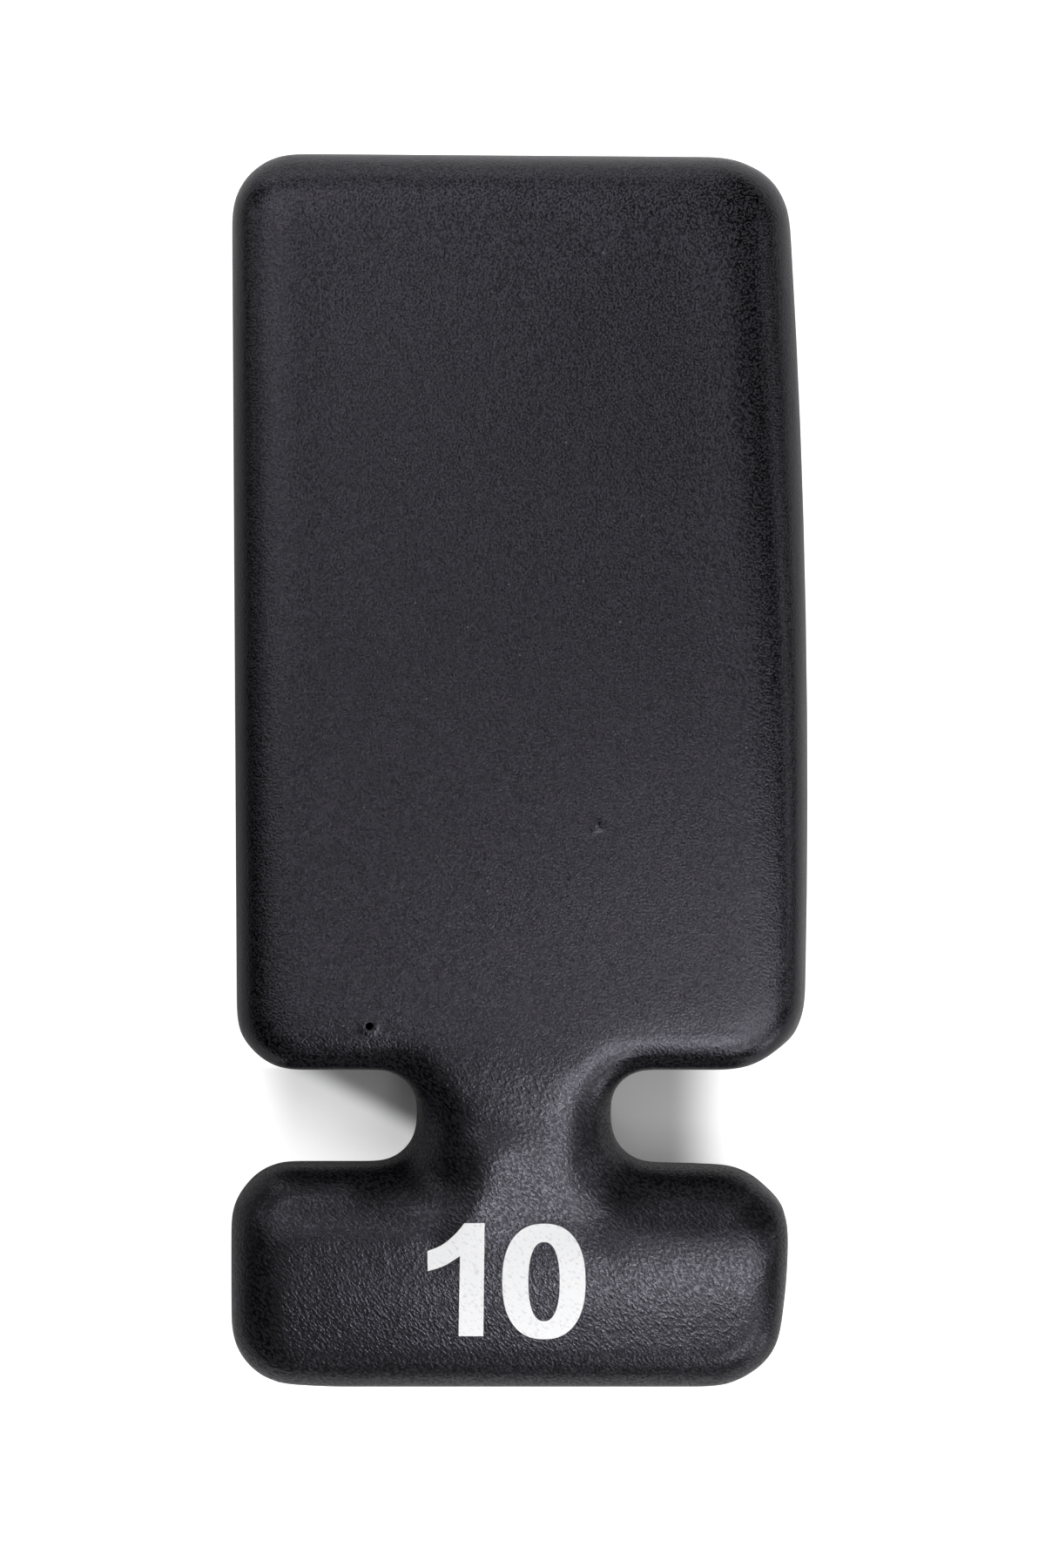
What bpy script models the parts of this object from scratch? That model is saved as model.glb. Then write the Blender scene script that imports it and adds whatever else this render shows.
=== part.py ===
"""A coated diving weight, lying on its flat back: a T-shaped lead casting inside a dipped vinyl coating.

Metres, +Z up. X runs across the weight, and +Y from the cross-bar handle to the far end of the body.
The origin is on the surface that the weight rests on, under the middle of its plan.

The plan is drawn from the neck's centre line (x = 0) and the handle's near edge (y = 0), then centred.
The casting's own surface is the coating's outer surface moved inwards, so one form makes every surface.
"""

import math
from typing import NamedTuple

import bmesh
import bpy
from mathutils import Vector

# Lengths along the weight, from the handle's near edge to the far end of the body.
HANDLE_DEPTH = 0.0368
GRIP_GAP = 0.0156
BODY_LENGTH = 0.1531

# Widths, and how far each stands to the right of the neck's centre line. The body was cast a little askew.
NECK_WIDTH = 0.0328
BODY_NEAR_WIDTH = 0.0940
BODY_NEAR_SHIFT = 0.0009
BODY_FAR_WIDTH = 0.0920
BODY_FAR_SHIFT = -0.0010
HANDLE_WIDTH = 0.0927
HANDLE_SHIFT = -0.0008
HANDLE_RIGHT_TAPER = 0.0026

# Small falls of the long edges towards the right, and the bows of the two right-hand sides.
FAR_EDGE_FALL = 0.0007
HANDLE_EDGE_FALL = 0.0008
BODY_RIGHT_BOW = 0.0031
HANDLE_RIGHT_BOW = 0.0010

# Radii of the corners in plan.
BODY_FAR_LEFT_RADIUS = 0.0107
BODY_FAR_RIGHT_RADIUS = 0.0120
BODY_NEAR_RIGHT_RADIUS = 0.0129
BODY_NEAR_LEFT_RADIUS = 0.0099
HANDLE_UPPER_RIGHT_RADIUS = 0.0113
HANDLE_NEAR_RIGHT_RADIUS = 0.0110
HANDLE_NEAR_LEFT_RADIUS = 0.0102
HANDLE_UPPER_LEFT_RADIUS = 0.0098
GRIP_RADIUS_AT_BODY = 0.0060
GRIP_RADIUS_AT_HANDLE = 0.0070

# How far the rounded upper edge reaches in along each side.
FAR_END_ROLL = 0.0087
BODY_RIGHT_FAR_ROLL = 0.0080
BODY_RIGHT_NEAR_ROLL = 0.0048
SHOULDER_ROLL = 0.0051
NECK_RIGHT_ROLL = 0.0066
HANDLE_UPPER_RIGHT_ROLL = 0.0098
HANDLE_RIGHT_ROLL = 0.0045
HANDLE_NEAR_ROLL = 0.0056
HANDLE_LEFT_ROLL = 0.0082
HANDLE_UPPER_LEFT_ROLL = 0.0066
NECK_LEFT_ROLL = 0.0066
BODY_LEFT_ROLL = 0.0064

# Heights. The top slopes down along a short tongue from the neck on to the lower handle.
BODY_THICKNESS = 0.0277
HANDLE_THICKNESS = 0.0251
SLOPE_START = 0.0116
SLOPE_LENGTH = 0.0130
TONGUE_WIDTH = 0.0150
TONGUE_FADE = 0.0110
BACK_EDGE_RADIUS = 0.0042
DRAFT = math.radians(1.0)

# The handle's top is an arc about its crown line, measured from the near edge, until it leans this much.
CROWN_LINE = 0.0216
CROWN_RADIUS = 0.0500
CROWN_LEAN = math.radians(11.0)

# The neck's left flank falls away from a bowed ridge, which stands furthest right a little past the handle.
RIDGE_FROM_NECK = 0.0033
RIDGE_PAST_HANDLE = 0.0029
RIDGE_RADIUS = 0.0097
FLANK_LEAN = math.radians(13.0)
FLANK_EASE = 0.0016
FLANK_FADE = 0.0080
FLANK_SIDE_FADE = 0.0110
FLANK_INTO_HANDLE = 0.0098

# The coating, the fit of the casting in it, and the hole of the wire that held the casting in the dip.
COATING_THICKNESS = 0.0015
FIT_GAP = 0.0003
HANGER_HOLE_DIAMETER = 0.0013
HANGER_HOLE_DEPTH = 0.0060
HANGER_HOLE_FROM_NECK = 0.0239
HANGER_HOLE_FROM_SHOULDER = 0.0078

# A bow's arc leaves this many corner radii of its side to each corner, and a roll takes this much of one.
CORNER_ROOM = 1.1
ROLL_LIMIT = 0.9

# How finely the curves are stepped.
CORNER_STEP = math.radians(11.25)
BOW_STEPS = 8
SIDE_STEP = 0.0035
BACK_STEPS = 3
ROLL_STEPS = 6
HANDLE_ROWS = 6
TOP_ROWS = 9
TOP_COLUMNS = 12
SIDE_COLUMNS = 2
HOLE_SIDES = 24
CUT_TOLERANCE = 1e-6
SMOOTH_BELOW = math.radians(35.0)

# Places that follow from the sizes above.
HANDLE_EDGE = HANDLE_DEPTH
BODY_EDGE = HANDLE_EDGE + GRIP_GAP
FAR_END = BODY_EDGE + BODY_LENGTH
SLOPE_TOP = BODY_EDGE - SLOPE_START
SLOPE_FOOT = SLOPE_TOP - SLOPE_LENGTH
TONGUE_REACH = TONGUE_WIDTH / 2 + TONGUE_FADE


class Corner(NamedTuple):
    """A corner of the plan's straight-sided figure, with the arc that rounds it."""

    x: float
    y: float
    radius: float
    roll: float  # of the upper edge along the side that leaves this corner
    bowed: bool = False  # the middle of a bowed side, which one long arc rounds


class Station(NamedTuple):
    """A point of the rounded plan."""

    place: Vector
    outward: Vector
    roll: float


def smooth(share):
    """Eases from 0 to 1 as share does."""
    share = min(max(share, 0.0), 1.0)
    return share * share * (3 - 2 * share)


def bow_between(before, after, height):
    """The bowed middle of a side: a corner that stands out by height, with one arc along the side."""
    start = Vector((before.x, before.y))
    end = Vector((after.x, after.y))
    half = (end - start) / 2
    outward = Vector((-half.y, half.x)).normalized()
    apex = (start + end) / 2 + outward * height
    reach = half.length - CORNER_ROOM * max(before.radius, after.radius)
    return Corner(apex.x, apex.y, reach * half.length / height, before.roll, bowed=True)


def plan_corners():
    """The corners of the T, clockwise from the far left, seen from above."""
    neck = NECK_WIDTH / 2
    far_left = BODY_FAR_SHIFT - BODY_FAR_WIDTH / 2
    far_right = BODY_FAR_SHIFT + BODY_FAR_WIDTH / 2
    near_left = BODY_NEAR_SHIFT - BODY_NEAR_WIDTH / 2
    near_right = BODY_NEAR_SHIFT + BODY_NEAR_WIDTH / 2
    handle_left = HANDLE_SHIFT - HANDLE_WIDTH / 2
    handle_right = HANDLE_SHIFT + HANDLE_WIDTH / 2

    body_right = (
        Corner(far_right, FAR_END - FAR_EDGE_FALL, BODY_FAR_RIGHT_RADIUS, BODY_RIGHT_FAR_ROLL),
        Corner(near_right, BODY_EDGE, BODY_NEAR_RIGHT_RADIUS, SHOULDER_ROLL),
    )
    handle_end = (
        Corner(
            handle_right,
            HANDLE_EDGE - HANDLE_EDGE_FALL,
            HANDLE_UPPER_RIGHT_RADIUS,
            HANDLE_RIGHT_ROLL,
        ),
        Corner(handle_right - HANDLE_RIGHT_TAPER, 0.0, HANDLE_NEAR_RIGHT_RADIUS, HANDLE_NEAR_ROLL),
    )
    body_bow = bow_between(*body_right, BODY_RIGHT_BOW)._replace(roll=BODY_RIGHT_NEAR_ROLL)
    return [
        Corner(far_left, FAR_END, BODY_FAR_LEFT_RADIUS, FAR_END_ROLL),
        body_right[0],
        body_bow,
        body_right[1],
        Corner(neck, BODY_EDGE, -GRIP_RADIUS_AT_BODY, NECK_RIGHT_ROLL),
        Corner(neck, HANDLE_EDGE, -GRIP_RADIUS_AT_HANDLE, HANDLE_UPPER_RIGHT_ROLL),
        handle_end[0],
        bow_between(*handle_end, HANDLE_RIGHT_BOW),
        handle_end[1],
        Corner(handle_left, 0.0, HANDLE_NEAR_LEFT_RADIUS, HANDLE_LEFT_ROLL),
        Corner(handle_left, HANDLE_EDGE, HANDLE_UPPER_LEFT_RADIUS, HANDLE_UPPER_LEFT_ROLL),
        Corner(-neck, HANDLE_EDGE, -GRIP_RADIUS_AT_HANDLE, NECK_LEFT_ROLL),
        Corner(-neck, BODY_EDGE, -GRIP_RADIUS_AT_BODY, SHOULDER_ROLL),
        Corner(near_left, BODY_EDGE, BODY_NEAR_LEFT_RADIUS, BODY_LEFT_ROLL),
    ]


def top_rows():
    """Where the top is cut across, from the handle's near roll to the body."""
    handle_step = (SLOPE_FOOT - HANDLE_NEAR_ROLL) / HANDLE_ROWS
    on_handle = [HANDLE_NEAR_ROLL + handle_step * row for row in range(1, HANDLE_ROWS)]
    return on_handle + [SLOPE_FOOT + (BODY_EDGE - SLOPE_FOOT) * row / TOP_ROWS for row in range(TOP_ROWS + 1)]


def stepped_sides(stations):
    """Adds stations to the straight sides of the handle and the neck, where the top isn't flat."""
    stepped = []
    for here, after in zip(stations, stations[1:] + stations[:1]):
        stepped.append(here)
        side = after.place - here.place
        if side.length < SIDE_STEP or max(here.place.y, after.place.y) > BODY_EDGE:
            continue
        if abs(side.y) > abs(side.x):
            shares = sorted((row_y - here.place.y) / side.y for row_y in top_rows())
        else:
            steps = math.ceil(side.length / SIDE_STEP)
            shares = [step / steps for step in range(steps)]
        for share in (share for share in shares if 0 < share < 1):
            roll = here.roll + (after.roll - here.roll) * share
            stepped.append(Station(here.place + side * share, here.outward, roll))
    return stepped


def rounded_plan():
    """The stations of the plan, clockwise, with an arc at each corner. Hollow corners have negative radii."""
    corners = plan_corners()
    stations = []
    for index, here in enumerate(corners):
        before = corners[index - 1]
        after = corners[(index + 1) % len(corners)]
        place = Vector((here.x, here.y))
        arriving = place - Vector((before.x, before.y))
        leaving = Vector((after.x, after.y)) - place
        heading = math.atan2(arriving.y, arriving.x)
        turn = arriving.angle_signed(leaving)
        reach = here.radius * math.tan(turn / 2)
        outward = Vector((-math.sin(heading), math.cos(heading)))
        centre = place - arriving.normalized() * reach - outward * here.radius
        steps = BOW_STEPS if here.bowed else math.ceil(abs(turn) / CORNER_STEP)
        for step in range(steps + 1):
            angle = heading - turn * step / steps
            outward = Vector((-math.sin(angle), math.cos(angle)))
            roll = before.roll + (here.roll - before.roll) * smooth(step / steps)
            if here.radius > 0:
                roll = min(roll, ROLL_LIMIT * here.radius)
            stations.append(Station(centre + outward * here.radius, outward, roll))
    return stepped_sides(stations)


def crown_drop(place, share):
    """How far the handle's top falls from its crown. Past the crown line only this share of it does."""
    across = abs(place.y - CROWN_LINE)
    lean = math.tan(CROWN_LEAN)
    bend_end = CROWN_RADIUS * lean
    drop = across**2 / (2 * CROWN_RADIUS) if across < bend_end else (across - bend_end / 2) * lean
    return drop if place.y < CROWN_LINE else drop * share


def flank_drop(place):
    """How far the neck's left flank falls from its ridge."""
    ridge_x = -RIDGE_FROM_NECK - (place.y - HANDLE_EDGE - RIDGE_PAST_HANDLE) ** 2 / (2 * RIDGE_RADIUS)
    past = ridge_x - place.x
    drop = math.tan(FLANK_LEAN) * (past + math.hypot(past, FLANK_EASE)) / 2
    from_handle = smooth((place.y - HANDLE_EDGE + FLANK_INTO_HANDLE) / FLANK_FADE)
    from_body = smooth((BODY_EDGE - place.y) / FLANK_FADE)
    from_side = smooth((place.x + NECK_WIDTH / 2 + FLANK_SIDE_FADE) / FLANK_SIDE_FADE)
    return drop * from_handle * from_body * from_side


def thickness(place):
    """How high the coated top stands over a place of the plan."""
    along = smooth((SLOPE_TOP - place.y) / SLOPE_LENGTH)
    aside = smooth((abs(place.x) - TONGUE_WIDTH / 2) / TONGUE_FADE)
    past_body = smooth((BODY_EDGE - place.y) / GRIP_GAP)
    body_share = (1 - along) * (1 - aside * past_body)
    height = HANDLE_THICKNESS + (BODY_THICKNESS - HANDLE_THICKNESS) * body_share
    return height - crown_drop(place, aside * past_body) - flank_drop(place)


def levels(inset):
    """The rings of a form moved inwards by inset, from the back up: each gives a station's point."""
    draft_per_height = math.tan(DRAFT)

    def back_ring(angle):
        def point(station):
            radius = BACK_EDGE_RADIUS - inset
            place = station.place - station.outward * (inset + radius * (1 - math.sin(angle)))
            return (*place, inset + radius * (1 - math.cos(angle)))

        return point

    def roll_ring(angle):
        def point(station):
            roll = station.roll - inset
            leaned = draft_per_height * (BODY_THICKNESS - station.roll - BACK_EDGE_RADIUS)
            place = station.place - station.outward * (inset + leaned + roll * (1 - math.cos(angle)))
            return (*place, thickness(place) - inset - roll * (1 - math.sin(angle)))

        return point

    quarter = math.pi / 2
    back = [back_ring(quarter * step / BACK_STEPS) for step in range(BACK_STEPS + 1)]
    roll = [roll_ring(quarter * step / ROLL_STEPS) for step in range(ROLL_STEPS + 1)]
    return back + roll


def raise_wall(bm, rim, station_of, point):
    """Extrudes the rim once, to the next ring. Returns the new rim and its vertices' stations."""
    grown = bmesh.ops.extrude_edge_only(bm, edges=rim)["geom"]
    raised = {}
    for vert in (item for item in grown if isinstance(item, bmesh.types.BMVert)):
        ends = (edge.other_vert(vert) for edge in vert.link_edges)
        raised[vert] = next(station_of[end] for end in ends if end in station_of)
    for vert, station in raised.items():
        vert.co = point(station)
    edges = (item for item in grown if isinstance(item, bmesh.types.BMEdge))
    return [edge for edge in edges if all(vert in raised for vert in edge.verts)], raised


def slope_the_top(bm, top, inset):
    """Cuts the flat top into rows and columns, and sets each new vertex at its height."""
    column_xs = [TONGUE_REACH * (2 * column / TOP_COLUMNS - 1) for column in range(TOP_COLUMNS + 1)]
    side_step = (HANDLE_WIDTH / 2 - HANDLE_LEFT_ROLL - TONGUE_REACH) / (SIDE_COLUMNS + 1)
    for column in range(1, SIDE_COLUMNS + 1):
        column_xs += [-TONGUE_REACH - side_step * column, TONGUE_REACH + side_step * column]
    cuts = [((0, y, 0), (0, 1, 0)) for y in top_rows()] + [((x, 0, 0), (1, 0, 0)) for x in column_xs]
    faces = {top}
    for place, normal in cuts:
        edges = {edge for face in faces for edge in face.edges}
        verts = {vert for face in faces for vert in face.verts}
        before = set(bm.faces)
        bmesh.ops.bisect_plane(
            bm,
            geom=[*faces, *edges, *verts],
            dist=CUT_TOLERANCE,
            plane_co=place,
            plane_no=normal,
        )
        faces |= set(bm.faces) - before
    for vert in {vert for face in faces for vert in face.verts}:
        vert.co.z = thickness(vert.co.xy) - inset


def build_form(name, inset):
    """The mesh of the weight's closed form, with every surface moved inwards by inset."""
    bm = bmesh.new()
    stations = rounded_plan()
    first, *others = levels(inset)
    foot = [bm.verts.new(first(station)) for station in stations]
    base = bm.faces.new(foot)
    rim = list(base.edges)
    station_of = dict(zip(foot, stations))
    for point in others:
        rim, station_of = raise_wall(bm, rim, station_of, point)
    top = bmesh.ops.contextual_create(bm, geom=rim)["faces"][0]
    slope_the_top(bm, top, inset)
    bmesh.ops.recalc_face_normals(bm, faces=bm.faces)
    mesh = bpy.data.meshes.new(name)
    bm.to_mesh(mesh)
    bm.free()
    mesh.shade_smooth()
    mesh.set_sharp_from_angle(angle=SMOOTH_BELOW)
    return mesh


def new_object(name, mesh, collection, parent):
    made = bpy.data.objects.new(name, mesh)
    collection.objects.link(made)
    made.parent = parent
    return made


def hide_cutter(cutter):
    cutter.hide_render = True
    cutter.display_type = "WIRE"


def hanger_hole_cutter(collection, parent):
    """A drill through the coating and down into the casting, for the wire that held it in the dip."""
    place = Vector((-HANGER_HOLE_FROM_NECK, BODY_EDGE + HANGER_HOLE_FROM_SHOULDER))
    surface = thickness(place)
    above = COATING_THICKNESS
    below = COATING_THICKNESS + FIT_GAP + HANGER_HOLE_DEPTH
    bm = bmesh.new()
    bmesh.ops.create_cone(
        bm,
        cap_ends=True,
        segments=HOLE_SIDES,
        radius1=HANGER_HOLE_DIAMETER / 2,
        radius2=HANGER_HOLE_DIAMETER / 2,
        depth=above + below,
    )
    mesh = bpy.data.meshes.new("hanger_hole_cutter")
    bm.to_mesh(mesh)
    bm.free()
    cutter = new_object("hanger_hole_cutter", mesh, collection, parent)
    cutter.location = (*place, surface + (above - below) / 2)
    hide_cutter(cutter)
    return cutter


def cut_from(target, cutter):
    boolean = target.modifiers.new("minus_" + cutter.name, "BOOLEAN")
    boolean.operation = "DIFFERENCE"
    boolean.solver = "EXACT"
    boolean.object = cutter


def material(name, colour, roughness, metallic=0.0):
    made = bpy.data.materials.new(name)
    made.use_nodes = True
    shader = made.node_tree.nodes["Principled BSDF"]
    shader.inputs["Base Color"].default_value = (*colour, 1.0)
    shader.inputs["Roughness"].default_value = roughness
    shader.inputs["Metallic"].default_value = metallic
    made.diffuse_color = (*colour, 1.0)
    return made


def clear_scene():
    for leftover in list(bpy.data.objects):
        bpy.data.objects.remove(leftover, do_unlink=True)


def new_collection(name):
    made = bpy.data.collections.new(name)
    bpy.context.scene.collection.children.link(made)
    return made


def main():
    clear_scene()
    parts = new_collection("diving_weight")
    cutters = new_collection("cutters")

    # The plan is drawn from the neck and the handle, so its parent moves its middle to the origin.
    places = [station.place for station in rounded_plan()]
    xs = [place.x for place in places]
    ys = [place.y for place in places]
    weight = new_object("weight", None, parts, None)
    weight.location = (-(min(xs) + max(xs)) / 2, -(min(ys) + max(ys)) / 2, 0.0)

    hole = hanger_hole_cutter(cutters, weight)
    cavity = new_object("cavity_cutter", build_form("cavity_cutter", COATING_THICKNESS), cutters, weight)
    hide_cutter(cavity)

    coating = new_object("vinyl_coating", build_form("vinyl_coating", 0.0), parts, weight)
    coating.data.materials.append(material("black_vinyl", (0.022, 0.023, 0.026), roughness=0.5))
    cut_from(coating, cavity)
    cut_from(coating, hole)

    casting_inset = COATING_THICKNESS + FIT_GAP
    casting = new_object("lead_casting", build_form("lead_casting", casting_inset), parts, weight)
    casting.data.materials.append(material("cast_lead", (0.26, 0.27, 0.29), roughness=0.6, metallic=1.0))
    cut_from(casting, hole)


main()
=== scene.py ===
# %% [markdown]
# The photograph shows a T-shaped lead diving weight that was dipped in black vinyl, seen from
# straight above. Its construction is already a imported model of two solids, the casting and the
# coating round it, so this lesson only dresses it: a fine skin for the coating, its pebbled black
# finish, the bare lead inside, the printed number, a white table, soft lights and the camera.
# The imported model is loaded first. It is a fixed frame, and nothing here moves or resizes it.

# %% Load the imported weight
import math

import bmesh
import bpy
import numpy as np
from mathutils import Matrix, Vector, noise


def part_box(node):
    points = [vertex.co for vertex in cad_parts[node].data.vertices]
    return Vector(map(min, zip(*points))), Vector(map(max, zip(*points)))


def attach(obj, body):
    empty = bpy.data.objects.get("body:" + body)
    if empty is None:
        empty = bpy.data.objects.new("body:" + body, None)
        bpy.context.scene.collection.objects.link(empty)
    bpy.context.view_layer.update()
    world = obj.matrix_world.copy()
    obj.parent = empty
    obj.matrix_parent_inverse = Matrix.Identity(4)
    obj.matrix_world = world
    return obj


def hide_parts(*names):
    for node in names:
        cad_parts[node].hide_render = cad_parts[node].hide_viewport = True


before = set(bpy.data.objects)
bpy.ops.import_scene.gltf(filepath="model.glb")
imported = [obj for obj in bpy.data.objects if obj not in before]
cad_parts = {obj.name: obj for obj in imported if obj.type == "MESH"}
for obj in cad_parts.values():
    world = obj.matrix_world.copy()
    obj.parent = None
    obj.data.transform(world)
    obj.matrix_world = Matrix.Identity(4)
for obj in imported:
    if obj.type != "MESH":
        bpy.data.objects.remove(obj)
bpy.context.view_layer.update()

coating_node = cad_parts["vinyl_coating"]
casting_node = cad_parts["lead_casting"]
coating_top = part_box("vinyl_coating")[1].z


def in_mm(lengths, digits=1):
    """Lengths in metres as rounded millimetres, for the printed lines."""
    return [round(length * 1000, digits) for length in lengths]


# %% [markdown]
# A camera straight above a flat object sees its outline at one scale. The outline lies where the
# side walls stand upright, so the scale of the photograph is stated for that height. A pixel then
# stands for a line of sight, and the place where it meets a given height is worked out from it.
# A long lens from far away keeps the walls from showing, as in the photograph.

# %% The camera above the table
PHOTO_WIDTH = 1200
PHOTO_HEIGHT = 1800
PHOTO_CENTRE = Vector((PHOTO_WIDTH / 2, PHOTO_HEIGHT / 2))
ORIGIN_PIXEL = Vector((594.8, 883.5))
METRES_PER_PIXEL = 0.14526e-3
OUTLINE_HEIGHT = 0.019
CAMERA_DISTANCE = 1.2
SENSOR_LONG_SIDE = 36.0

camera_x = (PHOTO_CENTRE.x - ORIGIN_PIXEL.x) * METRES_PER_PIXEL
camera_y = (ORIGIN_PIXEL.y - PHOTO_CENTRE.y) * METRES_PER_PIXEL
camera_z = OUTLINE_HEIGHT + CAMERA_DISTANCE


def from_photo(pixel_x, pixel_y, height):
    """The place in the frame that a pixel of the photograph shows, at a height above the table."""
    reach = METRES_PER_PIXEL * (camera_z - height) / CAMERA_DISTANCE
    return Vector((
        camera_x + (pixel_x - PHOTO_CENTRE.x) * reach,
        camera_y + (PHOTO_CENTRE.y - pixel_y) * reach,
        height,
    ))


bpy.ops.object.select_all(action="DESELECT")
bpy.ops.object.camera_add(location=(camera_x, camera_y, camera_z), rotation=(0, 0, 0))
camera = bpy.context.object
camera.name = "camera_above"
camera.data.sensor_width = SENSOR_LONG_SIDE
camera.data.lens = SENSOR_LONG_SIDE * CAMERA_DISTANCE / (PHOTO_HEIGHT * METRES_PER_PIXEL)
bpy.context.scene.camera = camera
print("Lens", round(camera.data.lens, 1), "mm, looking straight down")


# %% [markdown]
# Every finish below is a small web of nodes that ends in one Principled shader. These helpers add
# a node, join two sockets and work with values, so that each material reads as a short list of
# what it is made of.

# %% Helpers for materials
def new_material(name):
    """A material with only its shader and output. Returns the material and its shader."""
    made = bpy.data.materials.new(name)
    made.use_nodes = True
    return made, made.node_tree.nodes["Principled BSDF"]


def add_node(made, kind, **settings):
    """Adds a node. A setting is either a property of the node or, with spaces as _, an input."""
    node = made.node_tree.nodes.new(kind)
    for key, value in settings.items():
        if hasattr(node, key):
            setattr(node, key, value)
        else:
            node.inputs[key.replace("_", " ")].default_value = value
    return node


def join(made, source, target):
    made.node_tree.links.new(source, target)


def feed(made, socket, value):
    """Joins an output of a node to a socket, or sets the socket to a number or a colour."""
    if isinstance(value, bpy.types.NodeSocket):
        join(made, value, socket)
    else:
        socket.default_value = value


# %% Helpers for values
def maths(made, operation, first, second):
    """Works with two values. Each is a number or an output of a node."""
    worked = add_node(made, "ShaderNodeMath", operation=operation)
    feed(made, worked.inputs[0], first)
    feed(made, worked.inputs[1], second)
    return worked.outputs[0]


def product(made, first, second):
    return maths(made, "MULTIPLY", first, second)


def rest_of(made, share):
    """1 less the share."""
    return maths(made, "SUBTRACT", 1.0, share)


def ramp(made, source, start, end):
    """Eases from 0 to 1 as the source goes from start to end."""
    eased = add_node(
        made, "ShaderNodeMapRange", interpolation_type="SMOOTHSTEP", From_Min=start, From_Max=end
    )
    join(made, source, eased.inputs["Value"])
    return eased.outputs["Result"]


# %% [markdown]
# The photograph's table is burnt out to plain white, but the vinyl mirrors far less than such a
# table would give it. So the table is grey paper for the light and for reflections, and a glow that
# only the camera sees lifts it to white.

# %% The white table
WHITE = (1.0, 1.0, 1.0, 1.0)
TABLE_SIZE = 12.0
TABLE_COLOUR = (0.40, 0.40, 0.40, 1.0)
PAPER_ROUGHNESS = 0.9
PAPER_SPECULAR = 0.2

bpy.ops.object.select_all(action="DESELECT")
bpy.ops.mesh.primitive_plane_add(size=TABLE_SIZE, location=(0, 0, 0))
table = bpy.context.object
table.name = "white_table"
paper, paper_shader = new_material("white_table_paper")
paper_shader.inputs["Base Color"].default_value = TABLE_COLOUR
paper_shader.inputs["Roughness"].default_value = PAPER_ROUGHNESS
paper_shader.inputs["Specular IOR Level"].default_value = PAPER_SPECULAR
paper_shader.inputs["Emission Color"].default_value = WHITE
table.data.materials.append(paper)
print("The table is", TABLE_SIZE, "m wide")

# %% [markdown]
# Only the table in the two grip gaps keeps a soft shade in the photograph, so the glow leaves it
# out there. In the left gap the shade sets in along a slanting line, with a dark core and a wide
# halo. In the right gap it deepens towards the neck. Each place is read off the photograph.

# %% The left gap's shade
GLOW_SOFTNESS = 0.001
LEFT_SHADE_START = from_photo(366, 1232, 0)
LEFT_SHADE_END = from_photo(474, 1290, 0)
LEFT_CORE = 0.45
LEFT_CORE_REACH = (-0.0026, 0.0020)
LEFT_HALO = 0.50
LEFT_HALO_REACH = (-0.0190, -0.0015)
LEFT_HALO_OPEN = (from_photo(270, 0, 0).x, from_photo(345, 0, 0).x)

table_place = add_node(paper, "ShaderNodeTexCoord").outputs["Object"]
table_axes = add_node(paper, "ShaderNodeSeparateXYZ")
join(paper, table_place, table_axes.inputs["Vector"])
table_x, table_y = table_axes.outputs["X"], table_axes.outputs["Y"]

shade_line = (LEFT_SHADE_END - LEFT_SHADE_START).xy.normalized()
line_aside = Vector((-shade_line.y, shade_line.x, 0.0))
line_start = LEFT_SHADE_START.x * line_aside.x + LEFT_SHADE_START.y * line_aside.y
past_line = add_node(paper, "ShaderNodeVectorMath", operation="DOT_PRODUCT")
past_line.inputs[1].default_value = line_aside
join(paper, table_place, past_line.inputs[0])


def shade_past_line(share, reach):
    """A shade that sets in along the left gap's line. The reach is measured across the line."""
    start, end = (line_start + past for past in reach)
    return product(paper, ramp(paper, past_line.outputs["Value"], start, end), share)


core = shade_past_line(LEFT_CORE, LEFT_CORE_REACH)
halo = shade_past_line(LEFT_HALO, LEFT_HALO_REACH)
left_open = product(
    paper,
    ramp(paper, table_x, *LEFT_HALO_OPEN),
    ramp(paper, table_x, GLOW_SOFTNESS, -GLOW_SOFTNESS),
)
left_shade = product(paper, maths(paper, "ADD", core, halo), left_open)
print("The left shade's line starts at", in_mm(LEFT_SHADE_START.xy), "mm")

# %% The right gap's shade and the glow
GAP_FAR = from_photo(0, 1228, 0).y
GAP_NEAR = from_photo(0, 1346, 0).y
RIGHT_SHADE_START = from_photo(858, 0, 0).x
RIGHT_SHADE_END = from_photo(765, 0, 0).x
RIGHT_SHADE = 0.88
GLOW = 1.0

right_shade = product(
    paper,
    product(paper, ramp(paper, table_x, RIGHT_SHADE_START, RIGHT_SHADE_END), RIGHT_SHADE),
    ramp(paper, table_x, -GLOW_SOFTNESS, GLOW_SOFTNESS),
)
in_gap = product(
    paper,
    ramp(paper, table_y, GAP_NEAR - GLOW_SOFTNESS, GAP_NEAR),
    ramp(paper, table_y, GAP_FAR + GLOW_SOFTNESS, GAP_FAR),
)
shade = product(paper, in_gap, maths(paper, "ADD", left_shade, right_shade))
seen_by = add_node(paper, "ShaderNodeLightPath")
glow = product(paper, seen_by.outputs["Is Camera Ray"], GLOW)
join(paper, product(paper, glow, rest_of(paper, shade)), paper_shader.inputs["Emission Strength"])
print("The table glows for the camera, but not in the shade of the gaps")

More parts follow.
